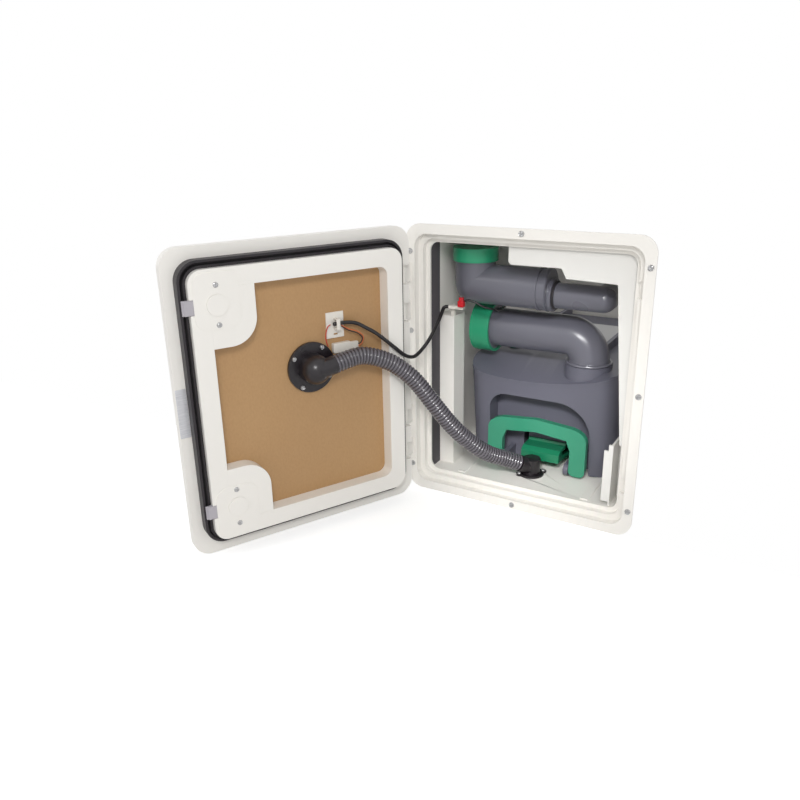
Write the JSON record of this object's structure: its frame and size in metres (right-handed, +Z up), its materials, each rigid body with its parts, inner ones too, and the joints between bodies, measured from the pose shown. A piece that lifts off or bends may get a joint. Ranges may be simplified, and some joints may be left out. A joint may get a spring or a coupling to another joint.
{
  "type": "caravan cassette toilet service hatch",
  "caption": "Hinged service hatch with a tank compartment, a removable waste tank with swivel spout and folding handle, a swing-out filler, and a fan-driven vent hose.",
  "frame": {"origin": "middle of the rectangle of the four corner screws, on the back face of the flange, which lies on the outside of the wall", "axes": "+Y into the wall, away from the person who opens the door; +X to that person's right; +Z up"},
  "size_m": [0.4879, 0.7645, 0.4],
  "materials": {
    "cream_plastic": "satin off-white moulded plastic",
    "white_plastic": "white moulded plastic",
    "screw_steel": "zinc plated steel",
    "hinge_steel": "stainless steel pin",
    "grey_foam": "dark grey closed-cell foam",
    "black_rubber": "matt black rubber",
    "board": "smooth brown hardboard",
    "skin": "painted aluminium sheet",
    "foil": "plain silver foil, bare",
    "black_plastic": "black moulded plastic",
    "hose_grey": "ribbed dark grey hose",
    "cable_black": "black cable sheath",
    "wire_red": "coloured wire insulation",
    "red_plastic": "red moulded plastic",
    "nylon": "natural nylon",
    "tongue_grey": "grey moulded plastic",
    "tank_grey": "dark grey blow-moulded plastic",
    "pipe_grey": "dark grey moulded plastic",
    "green_plastic": "green moulded plastic",
    "handle_green": "green moulded plastic",
    "light_grey": "light grey moulded plastic",
    "filter_black": "black carbon foam",
    "motor_grey": "grey motor can"
  },
  "bodies": {
    "hatch": {"wall_frame": "cream_plastic", "flange_screws": "screw_steel", "hinge_pins": "hinge_steel", "foam_lining": "grey_foam", "compartment_tray": "white_plastic", "corner_post": "white_plastic", "blanking_panel": "white_plastic", "guide_bracket": "white_plastic", "side_baffle": "tank_grey", "baffle_trim": "green_plastic", "flush_water_tank": "white_plastic", "inlet_pipe": "pipe_grey", "filler_seal": "black_rubber", "floor_elbow": "black_plastic", "floor_elbow_screws": "screw_steel", "catch_bracket": "light_grey", "catch_pin": "hinge_steel", "connector_bracket": "nylon", "red_connector": "red_plastic", "switch_lead": "cable_black", "vent_hose": "hose_grey", "fan_cable": "cable_black"},
    "catch": {"retention_catch": "green_plastic"},
    "door": {"door_rim": "cream_plastic", "door_board": "board", "outer_skin": "skin", "door_ring": "cream_plastic", "door_seal": "black_rubber", "foil_label": "foil", "lock_housings": "cream_plastic", "lock_covers": "cream_plastic", "lock_screws": "screw_steel", "fan_housing": "black_plastic", "fan_screws": "screw_steel", "fan_motor": "motor_grey", "vent_cover": "cream_plastic", "filter_pad": "filter_black", "tie_mount": "nylon", "cable_tie": "nylon", "wire_connectors": "nylon", "fan_wires": "wire_red"},
    "upper_lock": {"upper_knob": "cream_plastic"},
    "lower_lock": {"lower_knob": "cream_plastic"},
    "upper_latch": {"upper_tongue": "tongue_grey"},
    "lower_latch": {"lower_tongue": "tongue_grey"},
    "impeller": {"fan_impeller": "black_plastic"},
    "tank": {"waste_tank": "tank_grey", "spout_collar": "pipe_grey", "mouth_seal": "black_rubber", "handle_pins": "hinge_steel"},
    "mouth_cover": {"sliding_cover": "light_grey"},
    "tank_vent": {"vent_button": "green_plastic"},
    "spout": {"swivel_spout": "pipe_grey"},
    "spout_lid": {"spout_cap": "green_plastic"},
    "handle": {"tank_handle": "handle_green"},
    "filler": {"filler_arm": "pipe_grey"},
    "filler_lid": {"filler_cap": "green_plastic"}
  },
  "joints": [
    {"name": "door_hinge", "type": "hinge", "parent": "hatch", "child": "door", "pos_m": [-0.168, -0.0175, 0], "axis": [0, 0, 1], "range_deg": [-40, 116.4], "deforming": ["vent_hose", "fan_cable"]},
    {"name": "upper_knob_turn", "type": "hinge", "parent": "door", "child": "upper_lock", "pos_m": [-0.29205, -0.26852, 0.132], "axis": [-0.8957, 0.4446, 0], "range_deg": [0, 90]},
    {"name": "lower_knob_turn", "type": "hinge", "parent": "door", "child": "lower_lock", "pos_m": [-0.29205, -0.26852, -0.132], "axis": [-0.8957, 0.4446, 0], "range_deg": [0, 90]},
    {"name": "upper_tongue_slide", "type": "slide", "parent": "door", "child": "upper_latch", "axis": [0.4446, 0.8957, 0], "range_m": [0, 0.0081]},
    {"name": "lower_tongue_slide", "type": "slide", "parent": "door", "child": "lower_latch", "axis": [0.4446, 0.8957, 0], "range_m": [0, 0.0081]},
    {"name": "fan_spin", "type": "hinge", "parent": "door", "child": "impeller", "pos_m": [-0.2302, -0.15967, 0.028], "axis": [-0.8957, 0.4446, 0], "continuous": true},
    {"name": "catch_press", "type": "hinge", "parent": "hatch", "child": "catch", "pos_m": [0.006, 0.165, -0.1685], "axis": [1, 0, 0], "range_deg": [0, 6.5], "stiffness_Nm_per_rad": 4},
    {"name": "tank_slide", "type": "slide", "parent": "hatch", "child": "tank", "axis": [0, 1, 0], "range_m": [-0.3, 0]},
    {"name": "cover_slide", "type": "slide", "parent": "tank", "child": "mouth_cover", "axis": [0, 1, 0], "range_m": [0, 0.1]},
    {"name": "vent_press", "type": "slide", "parent": "tank", "child": "tank_vent", "axis": [0, 0, -1], "range_m": [0, 0.003], "stiffness_N_per_m": 400},
    {"name": "spout_swing", "type": "hinge", "parent": "tank", "child": "spout", "pos_m": [0.062, 0.121, -0.008], "axis": [0, 0, -1], "range_deg": [-90, 0]},
    {"name": "spout_cap_turn", "type": "hinge", "parent": "spout", "child": "spout_lid", "pos_m": [-0.1, 0.121, 0.035], "axis": [1, 0, 0], "range_deg": [-300, 0]},
    {"name": "handle_fold", "type": "hinge", "parent": "tank", "child": "handle", "pos_m": [0, 0.088, -0.163], "axis": [-1, 0, 0], "range_deg": [-40, 0]},
    {"name": "filler_swing", "type": "hinge", "parent": "hatch", "child": "filler", "pos_m": [0.01, 0.082, 0.1], "axis": [-1, 0, 0], "range_deg": [-45, 0]},
    {"name": "filler_cap_turn", "type": "hinge", "parent": "filler", "child": "filler_lid", "pos_m": [-0.103, 0.082, 0.15], "axis": [0, 0, 1], "range_deg": [0, 300]}
  ],
  "couplings": [
    {"joint": "upper_tongue_slide", "follows": "upper_knob_turn", "m_per_rad": 0.005093},
    {"joint": "lower_tongue_slide", "follows": "lower_knob_turn", "m_per_rad": 0.005093}
  ]
}
